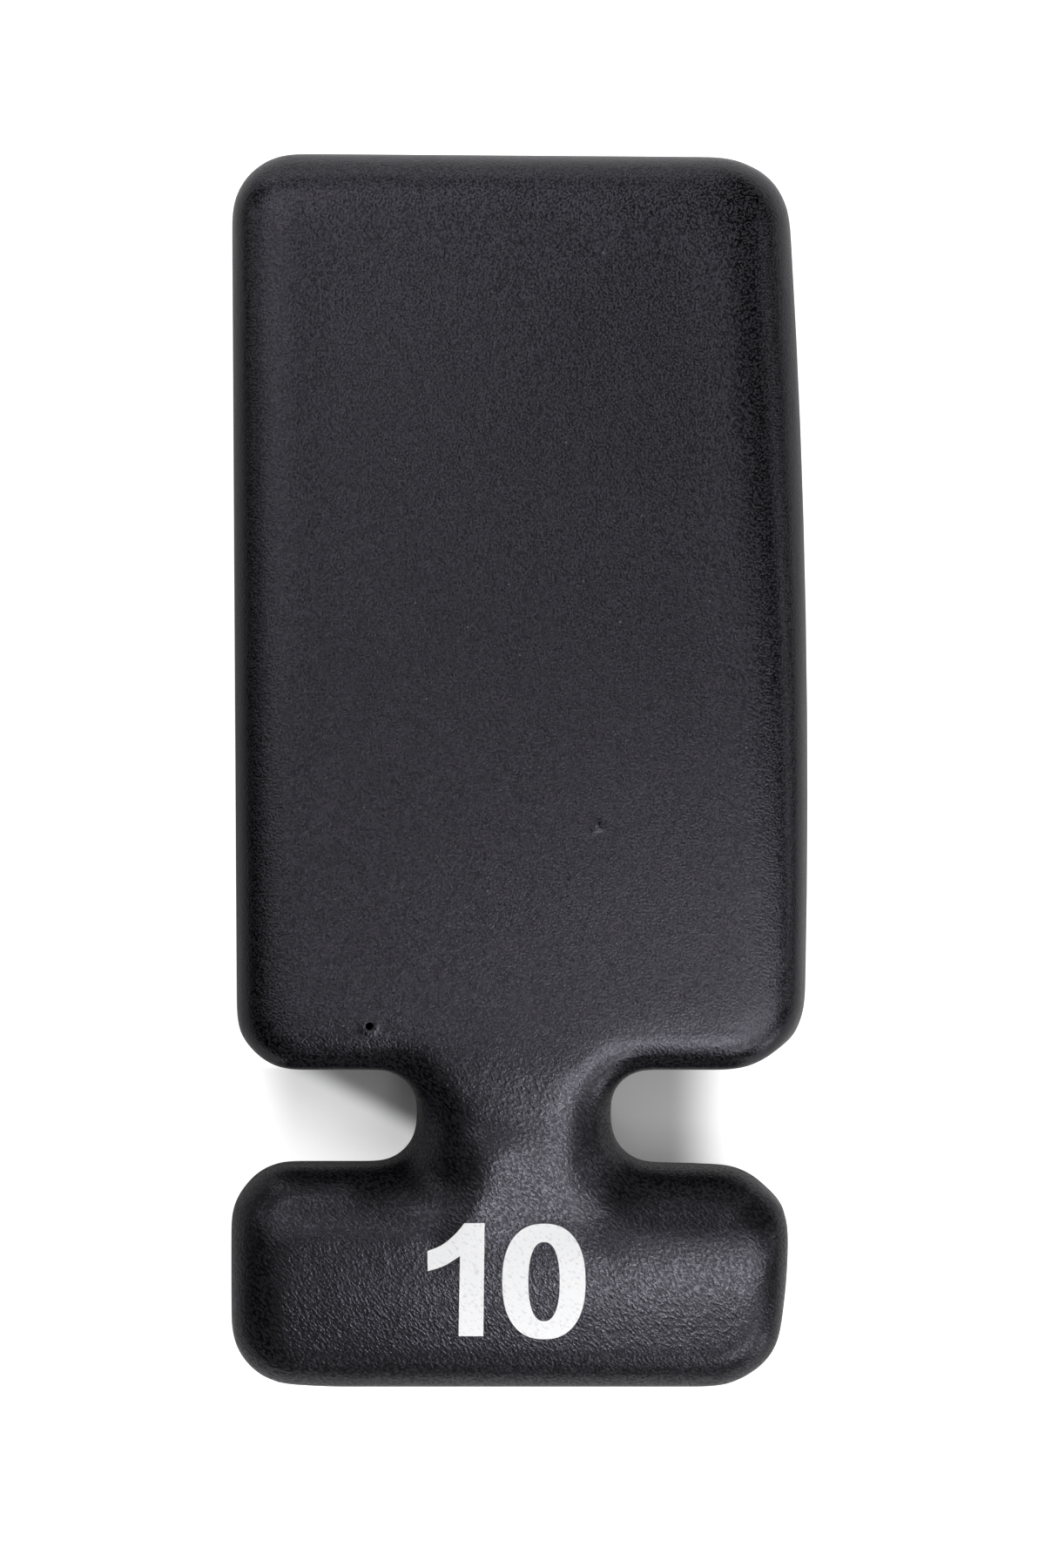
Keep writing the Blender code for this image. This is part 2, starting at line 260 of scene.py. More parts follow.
# %% [markdown]
# Black vinyl has hardly a colour of its own, so nearly all that it shows is lights mirrored in its
# pebble. The number needs much light and the flat face mirrors little, so most of the light comes
# in aslant from soft boxes: the strongest from the near right and the far left, weaker ones all
# round. Small lamps close above the handle draw the sheen on the neck and on the handle's right
# side. Six more light the table before, behind and beside the weight, whose edges mirror the lit
# table but not these lamps. The strengths were fitted to the shading in the photograph.

# %% A helper for lights
def soft_light(name, place, aim, size, watts, mirrored=True):
    """A square light at a place, turned to what it lights. The camera doesn't see it."""
    bpy.ops.object.select_all(action="DESELECT")
    bpy.ops.object.light_add(type="AREA", location=place)
    light = bpy.context.object
    light.name = name
    light.data.shape = "SQUARE"
    light.data.size = size
    light.data.energy = watts
    light.rotation_euler = (aim - place).to_track_quat("-Z", "Y").to_euler()
    light.visible_camera = False
    light.visible_glossy = mirrored


# %% Soft boxes all round
LIGHT_AIM = Vector((0.0, -0.02, 0.02))
BOX_DISTANCE = 0.62
BOX_SIZE = 0.20
# Each soft box by its elevation and its bearing in degrees, and its strength in watts.
SOFT_BOXES = (
    (36, 292, 0.50), (9, 315, 0.36), (50, 112, 0.33), (76, 144, 0.29), (9, 112, 0.20),
    (36, 315, 0.19), (22, 0, 0.19), (9, 90, 0.15), (22, 157, 0.14), (50, 157, 0.14),
    (36, 90, 0.06), (36, 15, 0.06),
)

for elevation, bearing, watts in SOFT_BOXES:
    rise, turn = math.radians(elevation), math.radians(bearing)
    level = math.cos(rise)
    towards = Vector((math.cos(turn) * level, math.sin(turn) * level, math.sin(rise)))
    place = LIGHT_AIM + towards * BOX_DISTANCE
    soft_light(f"soft_box_{bearing}_{elevation}", place, LIGHT_AIM, BOX_SIZE, watts)
print(len(SOFT_BOXES), "soft boxes,", BOX_DISTANCE, "m from the weight")

# %% Lamps near the handle and lamps for the table
# Each lamp by its place in metres, and its strength in watts.
HANDLE_AIM = Vector((0.01, -0.07, 0.02))
NEAR_LAMP_SIZE = 0.045
NEAR_LAMPS = (
    ((0.17, -0.11, 0.28), 0.076), ((0.05, -0.15, 0.23), 0.054), ((0.03, -0.11, 0.28), 0.036),
    ((0.07, -0.03, 0.28), 0.022), ((0.03, -0.13, 0.20), 0.032), ((0.07, -0.07, 0.20), 0.024),
)
TABLE_LAMP_SIZE = 0.08
TABLE_LAMPS = (
    ((-0.05, -0.22, 0.10), 0.141), ((0.05, -0.22, 0.10), 0.141),
    ((-0.04, 0.15, 0.10), 0.095), ((0.04, 0.15, 0.10), 0.095),
    ((0.11, 0.03, 0.10), 0.029), ((0.11, -0.03, 0.10), 0.029),
)

for number, (spot, watts) in enumerate(NEAR_LAMPS, 1):
    soft_light(f"near_lamp_{number}", Vector(spot), HANDLE_AIM, NEAR_LAMP_SIZE, watts)
for number, (spot, watts) in enumerate(TABLE_LAMPS, 1):
    place = Vector(spot)
    below = Vector((*place.xy, 0.0))
    soft_light(f"table_lamp_{number}", place, below, TABLE_LAMP_SIZE, watts, mirrored=False)
print(len(NEAR_LAMPS), "near lamps and", len(TABLE_LAMPS), "lamps for the table")

# %% White surround
bpy.context.scene.view_settings.view_transform = "Standard"
surround = bpy.data.worlds.new("white_surround")
bpy.context.scene.world = surround
surround.use_nodes = True
sky = surround.node_tree.nodes["Background"]
sky.inputs["Color"].default_value = WHITE
path = add_node(surround, "ShaderNodeLightPath")
join(surround, path.outputs["Is Camera Ray"], sky.inputs["Strength"])
print("The surround is white for the camera alone, and lights nothing")

# %% [markdown]
# The coating is dipped vinyl. It follows the casting, but softly: no edge stays crisp, and the
# surface wanders a little. The construction model has its form in facets, so a copy of its mesh is
# the start of the skin. These helpers pick a piece, pick its faces by a rule, apply a modifier and
# read or set all of a piece's points at once.

# %% Helpers for modelling
def only(piece):
    """Makes a piece the one that is selected and active."""
    bpy.ops.object.select_all(action="DESELECT")
    piece.select_set(True)
    bpy.context.view_layer.objects.active = piece


def select_faces(piece, wanted):
    """Enters edit mode with just the faces selected for which wanted(face) is true."""
    only(piece)
    bpy.ops.object.mode_set(mode="EDIT")
    bpy.ops.mesh.select_mode(type="FACE")
    bpy.ops.mesh.select_all(action="DESELECT")
    edited = bmesh.from_edit_mesh(piece.data)
    for face in edited.faces:
        face.select = wanted(face)
    edited.select_flush_mode()
    bmesh.update_edit_mesh(piece.data)


def apply_modifier(piece, kind, **settings):
    """Adds a modifier with its settings and applies it."""
    only(piece)
    modifier = piece.modifiers.new(kind.lower(), kind)
    for key, value in settings.items():
        setattr(modifier, key, value)
    bpy.ops.object.modifier_apply(modifier=modifier.name)


def points_of(piece):
    """The places of a piece's vertices, one row each."""
    places = np.empty(len(piece.data.vertices) * 3)
    piece.data.vertices.foreach_get("co", places)
    return places.reshape(-1, 3)


def set_points(piece, places):
    """Puts a piece's vertices at these places."""
    piece.data.vertices.foreach_set("co", places.astype(np.float32).ravel())
    piece.data.update()


# %% Find the pinhole
PINHOLE_PIXEL = (424.3, 1178.3)
PINHOLE_SEARCH = 0.002

seen_pinhole = from_photo(*PINHOLE_PIXEL, coating_top)
rim = [
    vert.co
    for vert in coating_node.data.vertices
    if (vert.co.xy - seen_pinhole.xy).length < PINHOLE_SEARCH
]
pinhole = sum(rim, Vector()) / len(rim)
pinhole_radius = max((corner.xy - pinhole.xy).length for corner in rim)
print("Pinhole at", in_mm(pinhole.xy, 2), "mm, radius", *in_mm([pinhole_radius], 2), "mm")

# %% [markdown]
# The copy is one shell whose outer and inner surfaces meet in the wall of the hanger's pinhole. So
# the hole's wall comes out first, the two surfaces are parted, and each is closed with a face. The
# outer one becomes the skin, and the inner one is kept to hollow it out again.

# %% Copy the coating and part its two surfaces
WELD_DISTANCE = 1e-5
PINHOLE_SLACK = 1e-4


def in_pinhole(face):
    """True for a face of the pinhole's wall."""
    reach = pinhole_radius + PINHOLE_SLACK
    return all((vert.co.xy - pinhole.xy).length < reach for vert in face.verts)


def close_hole(piece):
    """Closes a piece's one open rim with a face, and turns all its faces outwards."""
    only(piece)
    bpy.ops.object.mode_set(mode="EDIT")
    bpy.ops.mesh.select_mode(type="EDGE")
    bpy.ops.mesh.select_all(action="DESELECT")
    bpy.ops.mesh.select_non_manifold()
    bpy.ops.mesh.edge_face_add()
    bpy.ops.mesh.select_all(action="SELECT")
    bpy.ops.mesh.normals_make_consistent(inside=False)
    bpy.ops.object.mode_set(mode="OBJECT")


skin = bpy.data.objects.new("coating_skin", coating_node.data.copy())
skin.data.name = "coating_skin"
skin.data.materials.clear()
bpy.context.scene.collection.objects.link(skin)
only(skin)
bpy.ops.object.mode_set(mode="EDIT")
bpy.ops.mesh.select_all(action="SELECT")
bpy.ops.mesh.remove_doubles(threshold=WELD_DISTANCE)
bpy.ops.object.mode_set(mode="OBJECT")
select_faces(skin, in_pinhole)
bpy.ops.mesh.delete(type="FACE")
bpy.ops.mesh.select_all(action="SELECT")
bpy.ops.mesh.separate(type="LOOSE")
bpy.ops.object.mode_set(mode="OBJECT")
cavity, skin = sorted(bpy.context.selected_objects, key=lambda piece: piece.dimensions.y)
cavity.name = "cavity"
skin.name = "coating_skin"
for piece in (cavity, skin):
    close_hole(piece)
    print(piece.name, "is", *in_mm([piece.dimensions.y]), "mm long")

# %% [markdown]
# Much of the sculpting below depends on how far a point lies inside the weight's outline. A cut
# halfway up the walls, with both sides thrown away, leaves the outline as a loop of edges, and the
# distance to the nearest edge is worked out from that.

# %% Draw the outline
OUTLINE_CUT = 0.010

only(skin)
bpy.ops.object.duplicate()
outline = bpy.context.object
outline.name = "outline"
bpy.ops.object.mode_set(mode="EDIT")
bpy.ops.mesh.select_all(action="SELECT")
bpy.ops.mesh.bisect(
    plane_co=(0, 0, OUTLINE_CUT), plane_no=(0, 0, 1), clear_inner=True, clear_outer=True
)
bpy.ops.object.mode_set(mode="OBJECT")
ends = points_of(outline)[[tuple(edge.vertices) for edge in outline.data.edges]][:, :, :2]
bpy.data.objects.remove(outline)


def inside_edge(places):
    """How far each place lies from the outline, in plan."""
    nearest = np.full(len(places), np.inf)
    for start, end in ends:
        along = end - start
        share = np.clip(((places[:, :2] - start) @ along) / (along @ along), 0, 1)
        gap = places[:, :2] - start - share[:, None] * along
        nearest = np.minimum(nearest, np.hypot(gap[:, 0], gap[:, 1]))
    return nearest


way_round = np.hypot(*(ends[:, 1] - ends[:, 0]).T).sum()
print("The outline has", len(ends), "edges and is", round(way_round, 3), "m round")

# %% [markdown]
# A voxel remesh gives the outer surface small, even faces, and smoothing takes out the facets. Both
# are modifiers that are applied, because what follows works on the mesh itself.

# %% Even out the outer surface and soften it
SKIN_VOXEL = 0.00085
SOFTENING_ROUNDS = 14
SOFTENING = 0.5

apply_modifier(skin, "REMESH", mode="VOXEL", voxel_size=SKIN_VOXEL)
apply_modifier(skin, "SMOOTH", factor=SOFTENING, iterations=SOFTENING_ROUNDS)
print("The skin has", len(skin.data.polygons), "faces")

# %% [markdown]
# Lead shrinks as it sets, so the body's face sank a little inside its rim, and its long edges and
# near edge fell a little further. The neck leans to the right of a bowed ridge. The handle swells
# to a crown and rolls off steeply towards the gaps, and the walls flare a little. Dipping adds slow
# waves. All of this is too slight for edit mode, so it is done like sculpting: each point is moved
# by smooth functions of its place. Rows, columns, distances aside and the widths of the ridge and
# the crown are in pixels of the photograph. Moves, heights and distances from the outline are in
# metres. A pair of limits is where a move is nil and where it is full.

# %% Helpers for sculpting
# A line is averaged over these steps up and down the photograph, which rounds its corners.
ROUNDING_STEPS = (-16, -8, 0, 8, 16)


def between(values, start, end):
    """Eases from 0 at start to 1 at end."""
    share = np.clip((values - start) / (end - start), 0, 1)
    return share * share * (3 - 2 * share)


def span(values, set_in, run_out):
    """1 within a stretch that sets in over one pair of limits and runs out over another."""
    return between(values, *set_in) * between(values, *run_out)


def eased_line(values, stops, heights):
    """Follows heights from stop to stop, with the corners rounded."""
    lines = (np.interp(values + step, stops, heights) for step in ROUNDING_STEPS)
    return sum(lines) / len(ROUNDING_STEPS)


def swell(values, width):
    """A bell, 1 where the values are 0."""
    return np.exp(-((values / width) ** 2))


def wave(places, length, height):
    """Smooth random rises and falls, of a length and at most about a height."""
    return np.array([noise.noise(Vector(place) / length) for place in places]) * height


def most(lengths):
    """The largest of some lengths in metres, as rounded millimetres."""
    return round(lengths.max() * 1000, 2)


places = points_of(skin)
inside = inside_edge(places)
pixel_x = ORIGIN_PIXEL.x + places[:, 0] / METRES_PER_PIXEL
pixel_y = ORIGIN_PIXEL.y - places[:, 1] / METRES_PER_PIXEL
from_middle = abs(pixel_x - ORIGIN_PIXEL.x)


def by_the_edge(width):
    """1 at the outline, easing to 0 at a width inside it."""
    return np.clip(1 - inside / width, 0, 1) ** 2


print("The innermost point is", most(inside), "mm from the outline")

# %% Sink the face
# The body's edge is rolled less at the left than at the right and at the far end, and the face
# starts to sink where the roll ends.
ROLL_WIDTH = 0.0066
ROLL_MORE_RIGHT = 0.0014
ROLL_COLUMNS = (400, 800)
ROLL_MORE_FAR = 0.0020
ROLL_ROWS = (400, 200)
SINK_DEPTH = 0.00028
SINK_WIDTH = 0.0090
SINK_ROWS = (1215, 1050)

roll = ROLL_WIDTH + ROLL_MORE_RIGHT * between(pixel_x, *ROLL_COLUMNS)
roll = roll + ROLL_MORE_FAR * between(pixel_y, *ROLL_ROWS)
sunk = SINK_DEPTH * between(pixel_y, *SINK_ROWS) * between(inside, roll, roll + SINK_WIDTH)
print("The face sinks by up to", most(sunk), "mm")

# %% Let the body's near and long edges fall
NEAR_FALL = 0.0007
NEAR_FALL_WIDTH = 0.0100
NEAR_FALL_SETS_IN = (1080, 1190)
NEAR_FALL_RUNS_OUT = (1300, 1240)
LEFT_FALL = 0.0006
RIGHT_FALL = 0.0005
SIDE_FALL_WIDTH = 0.0120
SIDE_FALL_ROWS = (1210, 1120)
SIDE_FALL_ASIDE = (180, 250)

near_fall = NEAR_FALL * by_the_edge(NEAR_FALL_WIDTH)
near_fall *= span(pixel_y, NEAR_FALL_SETS_IN, NEAR_FALL_RUNS_OUT)
side_fall = np.where(pixel_x < ORIGIN_PIXEL.x, LEFT_FALL, RIGHT_FALL)
side_fall = side_fall * between(pixel_y, *SIDE_FALL_ROWS)
side_fall *= by_the_edge(SIDE_FALL_WIDTH) * between(from_middle, *SIDE_FALL_ASIDE)
print("The near edge falls by up to", most(near_fall), "mm, the long ones by", most(side_fall))

# %% Lean the neck from its bowed ridge
RIDGE_ROWS = (1227, 1254, 1317, 1367, 1390)
RIDGE_COLUMNS = (509, 545, 567, 552, 532)
NECK_LEAN = 0.0009
LEAN_BEFORE_RIDGE = 25
LEAN_END = 668
LEAN_SETS_IN = (1225, 1320)
LEAN_RUNS_OUT = (1455, 1390)
NECK_INSIDE = (0.0010, 0.0045)
NECK_ROWS = (1205, 1250, 1300, 1335, 1362, 1392, 1420, 1470)
NECK_SHIFTS = (0, -0.00030, -0.00045, -0.00035, 0.00030, 0.00080, 0.00050, 0)
SHIFT_BEFORE_RIDGE = 40
SHIFT_PAST_RIDGE = 12
SHIFT_RUNS_OUT = (705, 650)

ridge_x = eased_line(pixel_y, RIDGE_ROWS, RIDGE_COLUMNS)
on_neck = between(inside, *NECK_INSIDE)
lean = NECK_LEAN * between(pixel_x, ridge_x - LEAN_BEFORE_RIDGE, LEAN_END) * on_neck
lean *= span(pixel_y, LEAN_SETS_IN, LEAN_RUNS_OUT)
shift_sets_in = (ridge_x - SHIFT_BEFORE_RIDGE, ridge_x + SHIFT_PAST_RIDGE)
neck_shift = eased_line(pixel_y, NECK_ROWS, NECK_SHIFTS) * between(pixel_x, *shift_sets_in)
neck_shift *= between(pixel_x, *SHIFT_RUNS_OUT) * on_neck
print("The neck leans by up to", most(lean), "mm")

# %% Raise the neck's ridge
RIDGE_RISE = 0.0005
RIDGE_ASIDE = 8
RIDGE_LEFT_WIDTH = 24
RIDGE_RIGHT_WIDTH = 60
RIDGE_SETS_IN = (1280, 1330)
RIDGE_RUNS_OUT = (1445, 1400)

past_ridge = pixel_x - ridge_x + RIDGE_ASIDE
ridge_width = np.where(past_ridge < 0, RIDGE_LEFT_WIDTH, RIDGE_RIGHT_WIDTH)
ridge = RIDGE_RISE * swell(past_ridge, ridge_width)
ridge *= span(pixel_y, RIDGE_SETS_IN, RIDGE_RUNS_OUT)
print("The ridge rises by up to", most(ridge), "mm")

# %% Crown the handle and roll its far edge
CROWN_RISE = 0.00045
CROWN_ROW = 1412
CROWN_WIDTH = 28
CROWN_INSIDE = (0.0010, 0.0060)
CROWN_ASIDE = (70, 130)
HANDLE_FALL = 0.00065
HANDLE_FALL_WIDTH = 0.0080
HANDLE_FALL_SETS_IN = (1325, 1350)
HANDLE_FALL_RUNS_OUT = (1440, 1390)
HANDLE_FALL_ASIDE = (90, 130)

crown = CROWN_RISE * swell(pixel_y - CROWN_ROW, CROWN_WIDTH) * between(inside, *CROWN_INSIDE)
crown *= between(from_middle, *CROWN_ASIDE)
handle_fall = HANDLE_FALL * by_the_edge(HANDLE_FALL_WIDTH)
handle_rows = span(pixel_y, HANDLE_FALL_SETS_IN, HANDLE_FALL_RUNS_OUT)
handle_fall *= handle_rows * between(from_middle, *HANDLE_FALL_ASIDE)
print("The crown rises by", most(crown), "mm, and the far edge falls by", most(handle_fall))

# %% Move the points and add the dip's waves
# Each wave by its length and its height.
WAVES = ((0.030, 0.00012), (0.011, 0.00005))

lowered = sunk + near_fall + side_fall + lean + handle_fall - neck_shift - ridge - crown
places[:, 2] *= 1 - lowered / coating_top
for length, height in WAVES:
    places[:, 2] += wave(places, length, height) * np.clip(places[:, 2] / coating_top, 0, 1)
places[:, 2] = np.clip(places[:, 2], 0, None)
print("The skin is now", most(places[:, 2]), "mm tall")

# %% Flare the walls
# The walls stand out a little below the rolled edge, most at the right and at the handle's near
# side. The walls of the two grip gaps don't.
WALL_FLARE = 0.00035
RIGHT_FLARE = 0.00040
RIGHT_FLARE_COLUMNS = (850, 890)
NEAR_FLARE = 0.00045
NEAR_FLARE_ROWS = (1540, 1580)
NEAR_FLARE_ASIDE = (290, 200)
FLARE_HEIGHTS = (0.025, 0.017)
BODY_FLARE_ROWS = (1215, 1180)
HANDLE_FLARE_ROWS = (1360, 1395)

outwards = np.empty(len(places) * 3)
skin.data.vertices.foreach_get("normal", outwards)
flare = WALL_FLARE + RIGHT_FLARE * between(pixel_x, *RIGHT_FLARE_COLUMNS)
flare += NEAR_FLARE * between(pixel_y, *NEAR_FLARE_ROWS) * between(from_middle, *NEAR_FLARE_ASIDE)
past_gaps = np.maximum(between(pixel_y, *BODY_FLARE_ROWS), between(pixel_y, *HANDLE_FLARE_ROWS))
flare *= between(places[:, 2], *FLARE_HEIGHTS) * past_gaps
places[:, :2] += outwards.reshape(-1, 3)[:, :2] * flare[:, None]
set_points(skin, places)
print("The walls flare by up to", most(flare), "mm")

# %% Ease the body's top
# The voxels leave faint steps on the nearly flat face, so its heights are smoothed once more.
BODY_END = 1190
EASED_INSIDE = (0.0030, 0.0065)
EASING_ROUNDS = 50

body_top = skin.vertex_groups.new(name="body_top")
eased = between(inside, *EASED_INSIDE) * (pixel_y < BODY_END)
for index in np.flatnonzero(eased):
    body_top.add([int(index)], eased[index], "REPLACE")
apply_modifier(
    skin,
    "SMOOTH",
    factor=SOFTENING,
    iterations=EASING_ROUNDS,
    use_x=False,
    use_y=False,
    vertex_group="body_top",
)
print(np.count_nonzero(eased), "points of the body's top are eased")

# %% [markdown]
# Two small marks need a finer mesh than the rest. The vinyl stands up in a soft lip round the
# hanger's pinhole, and a speck under the coat made a low blister near the middle of the face. The
# faces round each are subdivided first. Then the points are raised by a bell of the right width.

# %% Raise the pinhole's lip and the blister
LIP_HEIGHT = 0.00009
LIP_RADIUS = 0.0011
LIP_WIDTH = 0.00045
BLISTER_PIXEL = (685, 949)
# Each bump of the blister by its place beside the blister's middle, its width and its height.
BLISTER_BUMPS = (
    (0.0, 0.0, 0.0007, 0.00020),
    (-0.0005, 0.0026, 0.0006, -0.00005),
    (0.0009, 0.0009, 0.0004, -0.00006),
)
FINE_REACH = 0.0042
FINE_CUTS = 3
# A face belongs to the top where its normal rises past this.
FACES_UP = 0.5


def refine_round(centre):
    """Subdivides the top's faces within reach of a place."""

    def on_top_near(face):
        apart = (face.calc_center_median().xy - centre.xy).length
        return face.normal.z > FACES_UP and apart < FINE_REACH

    select_faces(skin, on_top_near)
    bpy.ops.mesh.subdivide(number_cuts=FINE_CUTS)
    bpy.ops.object.mode_set(mode="OBJECT")


def raise_points(centre, height, ring_radius, width):
    """Raises the top's points by a bell across a ring. With no ring radius it is a mound."""
    places = points_of(skin)
    apart = np.hypot(places[:, 0] - centre.x, places[:, 1] - centre.y)
    bell = np.exp(-(((apart - ring_radius) / width) ** 2) / 2)
    places[:, 2] += height * bell * (places[:, 2] > coating_top / 2)
    set_points(skin, places)


blister = from_photo(*BLISTER_PIXEL, coating_top)
refine_round(pinhole)
refine_round(blister)
raise_points(pinhole, LIP_HEIGHT, LIP_RADIUS, LIP_WIDTH)
for aside, along, width, height in BLISTER_BUMPS:
    raise_points(blister + Vector((aside, along, 0)), height, 0.0, width)
print("With its two fine places the skin has", len(skin.data.polygons), "faces")

# %% [markdown]
# The skin is still a lump. Cutting the kept inner surface out of it leaves a coat with the right
# thickness, and a small cylinder drills the pinhole through it again.

# %% Hollow the skin and drill the pinhole
PINHOLE_DEPTH = 0.004
PINHOLE_SIDES = 32
SMOOTH_ANGLE = math.radians(50)


def cut_away(piece, cutter):
    """Cuts one piece's shape out of another, and throws the cutter away."""
    apply_modifier(piece, "BOOLEAN", operation="DIFFERENCE", solver="EXACT", object=cutter)
    bpy.data.objects.remove(cutter)


cut_away(skin, cavity)
bpy.ops.object.select_all(action="DESELECT")
bpy.ops.mesh.primitive_cylinder_add(
    vertices=PINHOLE_SIDES,
    radius=pinhole_radius,
    depth=PINHOLE_DEPTH,
    location=(pinhole.x, pinhole.y, coating_top),
)
cut_away(skin, bpy.context.object)
only(skin)
bpy.ops.object.shade_smooth_by_angle(angle=SMOOTH_ANGLE)
print("The hollow skin has", len(skin.data.polygons), "faces")

# %% [markdown]
# Dipped vinyl cured with a fine pebble that sparkles where a light is mirrored. The pebble is even
# on the body. On the neck and the handle, where the vinyl ran as the weight hung from its hook, it
# is coarser and drawn out on the slant. It is far finer than the mesh, so it is a bump, made of
# noise that is stretched for the drawn part.

# %% The vinyl's pebble
EVEN_SIZE = 0.00036
EVEN_HEIGHT = 0.00011
DRAWN_SIZE = 0.00041
DRAWN_HEIGHT = 0.00012
DRAWN_TURN = math.radians(-45)
DRAWN_STRETCH = (1.8, 1.0, 1.0)
DRAWN_FROM = from_photo(0, 1120, 0).y
DRAWN_WHOLLY = from_photo(0, 1290, 0).y
GRAIN_SPREAD = (0.43, 0.57)
GRAIN_DETAIL = 2.0
NOISE_ROUGHNESS = 0.55


def noise_of(made, source, size, detail, roughness=NOISE_ROUGHNESS):
    """A noise with marks of about a size."""
    marks = add_node(
        made, "ShaderNodeTexNoise", Scale=1 / size, Detail=detail, Roughness=roughness
    )
    join(made, source, marks.inputs["Vector"])
    return marks.outputs["Fac"]


def bump_of(made, height, distance, below=None):
    """A bump from a height map, on top of another bump if there is one below."""
    bump = add_node(made, "ShaderNodeBump", Strength=1.0, Distance=distance)
    join(made, height, bump.inputs["Height"])
    if below:
        join(made, below, bump.inputs["Normal"])
    return bump.outputs["Normal"]


def drawn_grain(made, place):
    """The grain of the drawn pebble, slanted and stretched."""
    slant = add_node(
        made,
        "ShaderNodeMapping",
        vector_type="TEXTURE",
        Rotation=(0, 0, DRAWN_TURN),
        Scale=DRAWN_STRETCH,
    )
    join(made, place, slant.inputs["Vector"])
    return noise_of(made, slant.outputs["Vector"], DRAWN_SIZE, GRAIN_DETAIL)


def pebbled(made, place):
    """The pebble's height in metres, its grain from 0 in pits to 1 on tops, and how drawn it is."""
    axes = add_node(made, "ShaderNodeSeparateXYZ")
    join(made, place, axes.inputs["Vector"])
    drawn_share = ramp(made, axes.outputs["Y"], DRAWN_FROM, DRAWN_WHOLLY)
    even_grain = noise_of(made, place, EVEN_SIZE, GRAIN_DETAIL)
    even = product(made, even_grain, rest_of(made, drawn_share))
    drawn = product(made, drawn_grain(made, place), drawn_share)
    grain = maths(made, "ADD", even, drawn)
    deeper = product(made, drawn_share, DRAWN_HEIGHT - EVEN_HEIGHT)
    depth = maths(made, "ADD", EVEN_HEIGHT, deeper)
    return product(made, grain, depth), ramp(made, grain, *GRAIN_SPREAD), drawn_share


print("The pebble's marks are", in_mm((EVEN_SIZE, DRAWN_SIZE), 2), "mm across")

# %% [markdown]
# A few specks of dust lie on the coat where the photograph shows them, and the two beside the
# pinhole are painted highlights on its lip. Each is a small pale disc in the vinyl's colour. The
# speck is made tall, so that it is met at any height of the wavy face.

# %% Specks of dust, and painted highlights by the pinhole
# The two specks beside the pinhole are painted highlights on its lip. The rest are dust.
SPECK_AND_GLINT_PIXELS = (
    (670, 667), (712, 714), (584, 671), (597, 752), (454, 527), (650, 508), (693, 290),
    (737, 592), (815, 690), (477, 692), (537, 720), (490, 802), (857, 858), (418, 927),
    (735, 1195), (685, 949), (434, 1181), (437, 1186), (514, 1246), (539, 1234), (494, 1261),
    (504, 1265), (488, 1253), (565, 1274), (531, 1309), (508, 1342), (527, 1372), (527, 1386),
    (372, 1417), (343, 1427),
)
SPECK_RADIUS = 0.00020
SPECK_TALL = 10.0


def stretched(made, place, factors):
    """A place with each axis multiplied by its factor."""
    node = add_node(made, "ShaderNodeVectorMath", operation="MULTIPLY")
    node.inputs[1].default_value = factors
    join(made, place, node.inputs[0])
    return node.outputs["Vector"]


def distance_from(made, place, centre):
    """How far a place is from a centre."""
    node = add_node(made, "ShaderNodeVectorMath", operation="DISTANCE")
    node.inputs[1].default_value = centre
    join(made, place, node.inputs[0])
    return node.outputs["Value"]


def specks(made, place):
    """1 on each dust speck and each painted highlight, and 0 elsewhere."""
    flattened = stretched(made, place, (1.0, 1.0, 1 / SPECK_TALL))
    nearest = None
    for pixel in SPECK_AND_GLINT_PIXELS:
        speck = from_photo(*pixel, coating_top)
        distance = distance_from(made, flattened, (speck.x, speck.y, speck.z / SPECK_TALL))
        nearest = maths(made, "MINIMUM", nearest, distance) if nearest else distance
    return ramp(made, nearest, SPECK_RADIUS, SPECK_RADIUS / 2)


print(len(SPECK_AND_GLINT_PIXELS), "specks of dust")

# %% [markdown]
# The vinyl is black with a breath of violet, and satin. Its pits are painted darker than its tops,
# as shade in the pebble's hollows, and on the neck and the handle only the tops are glossy. Its
# colour wanders slowly, as on a handled coating, and a broad, faint swell on top of the pebble lets
# the gloss wander too.

# %% Black vinyl
SHADED_PIT_COLOUR = (0.0004, 0.0004, 0.0005, 1.0)
TOP_COLOUR = (0.0155, 0.0149, 0.0180, 1.0)
WORN_COLOUR = (0.0180, 0.0173, 0.0208, 1.0)
SHEEN_COLOUR = (0.88, 0.85, 1.0, 1.0)
SPECK_AND_GLINT_COLOUR = (0.10, 0.10, 0.105, 1.0)
EVEN_PIT_ROUGHNESS = 0.14
EVEN_TOP_ROUGHNESS = 0.17
DRAWN_PIT_ROUGHNESS = 0.36
DRAWN_TOP_ROUGHNESS = 0.13
CLOUD_SIZE = 0.028
CLOUD_DETAIL = 4.0
CLOUD_SPREAD = (0.3, 0.7)
PEEL_SIZE = 0.0035
PEEL_HEIGHT = 0.00006
VINYL_IOR = 1.5
VINYL_SPECULAR = 0.6


def mixed(made, share, first, second):
    """A colour from the first to the second. Each is a colour or an output of a node."""
    mix = add_node(made, "ShaderNodeMix", data_type="RGBA")
    join(made, share, mix.inputs["Factor"])
    feed(made, mix.inputs[6], first)
    feed(made, mix.inputs[7], second)
    return mix.outputs[2]


def going(made, share, start, end):
    """A value that goes from start to end. Each is a number or an output of a node."""
    blend = add_node(made, "ShaderNodeMapRange")
    join(made, share, blend.inputs["Value"])
    feed(made, blend.inputs["To Min"], start)
    feed(made, blend.inputs["To Max"], end)
    return blend.outputs["Result"]


